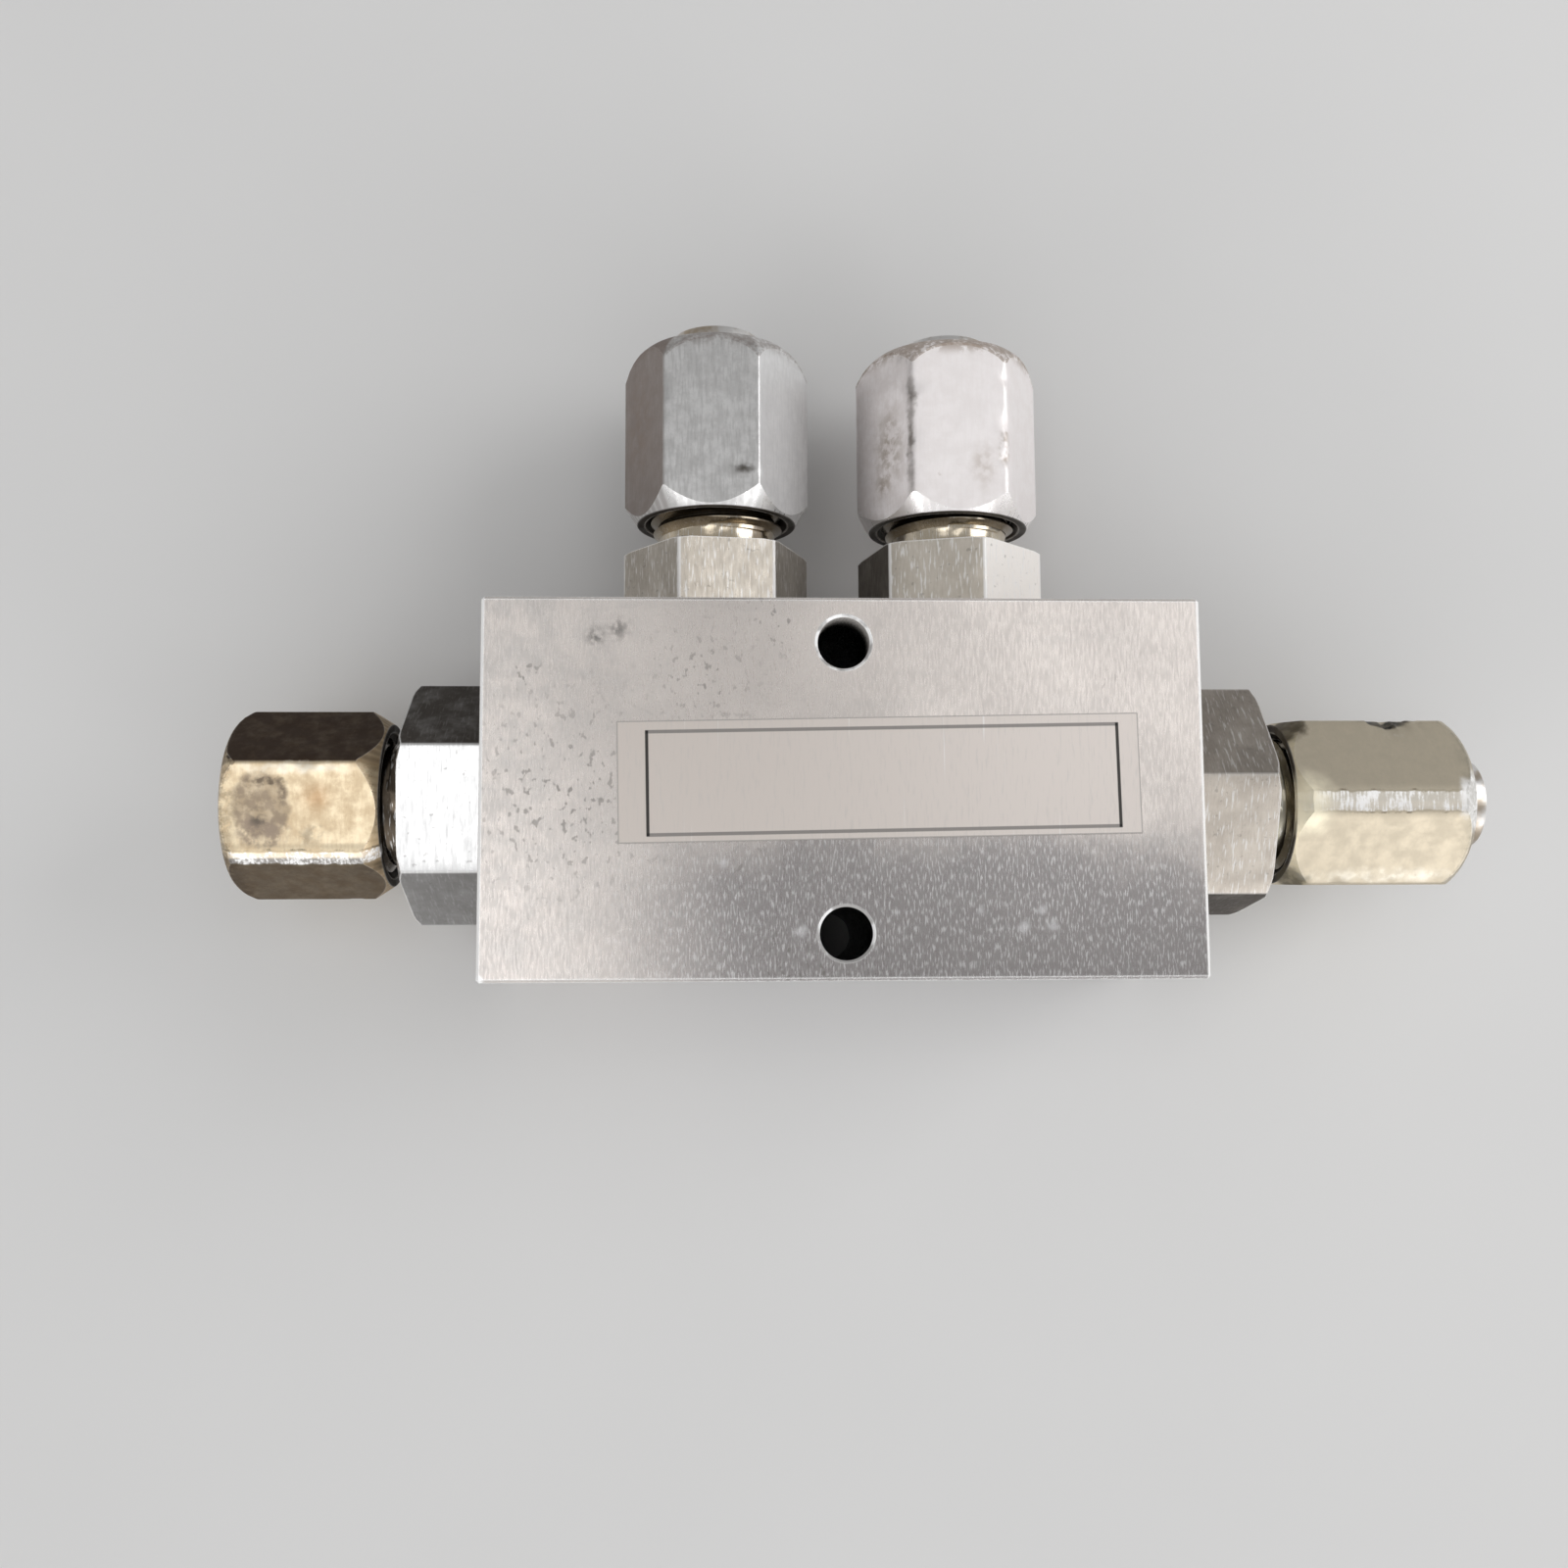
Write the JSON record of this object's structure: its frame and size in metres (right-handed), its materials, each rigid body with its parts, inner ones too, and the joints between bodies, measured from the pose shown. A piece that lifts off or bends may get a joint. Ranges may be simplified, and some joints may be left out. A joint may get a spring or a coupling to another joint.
{
  "type": "hydraulic header manifold",
  "caption": "Rectangular steel hydraulic header block with end and branch ports, each closed by a blanking plug under a threaded union nut.",
  "frame": {"origin": "middle of the two mounting holes on the back face that bolts down", "axes": "+Z from the back face to the wide face with the plate, along the mounting holes, +X along the block from the left end port to the right one, +Y towards the two branch ports"},
  "size_m": [0.1331, 0.0703, 0.0287],
  "materials": {
    "block": "satin plated steel with fine streaks across the wide face and small stains",
    "plate": "thin matt silver plate, bare, with a fine frame line",
    "stud": "turned and drawn bar, plated, with streaks along the flats and bright corners",
    "zinc_nut": "zinc plated, worn, with brown stains and bright bevels",
    "pale_nut": "pale yellowish zinc, worn bright at the corners",
    "yellow_nut": "yellow passivated zinc with a dark worn patch",
    "plug": "turned steel with fine rings, brown in places",
    "seal": "black nitrile ring"
  },
  "bodies": {
    "block": {"manifold_block": "block", "data_plate": "plate", "left_end_stud_body": "stud", "left_end_stud_seal": "seal", "right_end_stud_body": "stud", "right_end_stud_seal": "seal", "left_branch_stud_body": "stud", "left_branch_stud_seal": "seal", "right_branch_stud_body": "stud", "right_branch_stud_seal": "seal"},
    "left_end_plug": {"left_end_blanking_plug": "plug", "left_end_plug_seal": "seal"},
    "left_end_nut": {"left_end_union_nut": "yellow_nut"},
    "right_end_plug": {"right_end_blanking_plug": "plug", "right_end_plug_seal": "seal"},
    "right_end_nut": {"right_end_union_nut": "pale_nut"},
    "left_branch_plug": {"left_branch_blanking_plug": "plug", "left_branch_plug_seal": "seal"},
    "left_branch_nut": {"left_branch_union_nut": "zinc_nut"},
    "right_branch_plug": {"right_branch_blanking_plug": "plug", "right_branch_plug_seal": "seal"},
    "right_branch_nut": {"right_branch_union_nut": "zinc_nut"}
  },
  "joints": [
    {"name": "left_end_plug_slide", "type": "slide", "parent": "block", "child": "left_end_plug", "axis": [-1, 0, 0], "range_m": [0, 0.00847]},
    {"name": "left_end_nut_turn", "type": "hinge", "parent": "left_end_plug", "child": "left_end_nut", "pos_m": [-0.036, -0.0005, 0.0143], "axis": [-1, 0, 0], "range_deg": [0, 2160]},
    {"name": "right_end_plug_slide", "type": "slide", "parent": "block", "child": "right_end_plug", "axis": [1, 0, 0], "range_m": [-0.00056, 0.00847]},
    {"name": "right_end_nut_turn", "type": "hinge", "parent": "right_end_plug", "child": "right_end_nut", "pos_m": [0.036, -0.0005, 0.0143], "axis": [1, 0, 0], "range_deg": [-144, 2160]},
    {"name": "left_branch_plug_slide", "type": "slide", "parent": "block", "child": "left_branch_plug", "axis": [0, 1, 0], "range_m": [-0.00056, 0.00847]},
    {"name": "left_branch_nut_turn", "type": "hinge", "parent": "left_branch_plug", "child": "left_branch_nut", "pos_m": [-0.0127, 0.01905, 0.0143], "axis": [0, 1, 0], "range_deg": [-144, 2160]},
    {"name": "right_branch_plug_slide", "type": "slide", "parent": "block", "child": "right_branch_plug", "axis": [0, 1, 0], "range_m": [-0.00007, 0.00847]},
    {"name": "right_branch_nut_turn", "type": "hinge", "parent": "right_branch_plug", "child": "right_branch_nut", "pos_m": [0.0127, 0.01905, 0.0143], "axis": [0, 1, 0], "range_deg": [-18, 2160]}
  ],
  "couplings": [
    {"joint": "left_end_nut_turn", "follows": "left_end_plug_slide", "rad_per_m": 4452.7},
    {"joint": "right_end_nut_turn", "follows": "right_end_plug_slide", "rad_per_m": 4452.7},
    {"joint": "left_branch_nut_turn", "follows": "left_branch_plug_slide", "rad_per_m": 4452.7},
    {"joint": "right_branch_nut_turn", "follows": "right_branch_plug_slide", "rad_per_m": 4452.7}
  ]
}
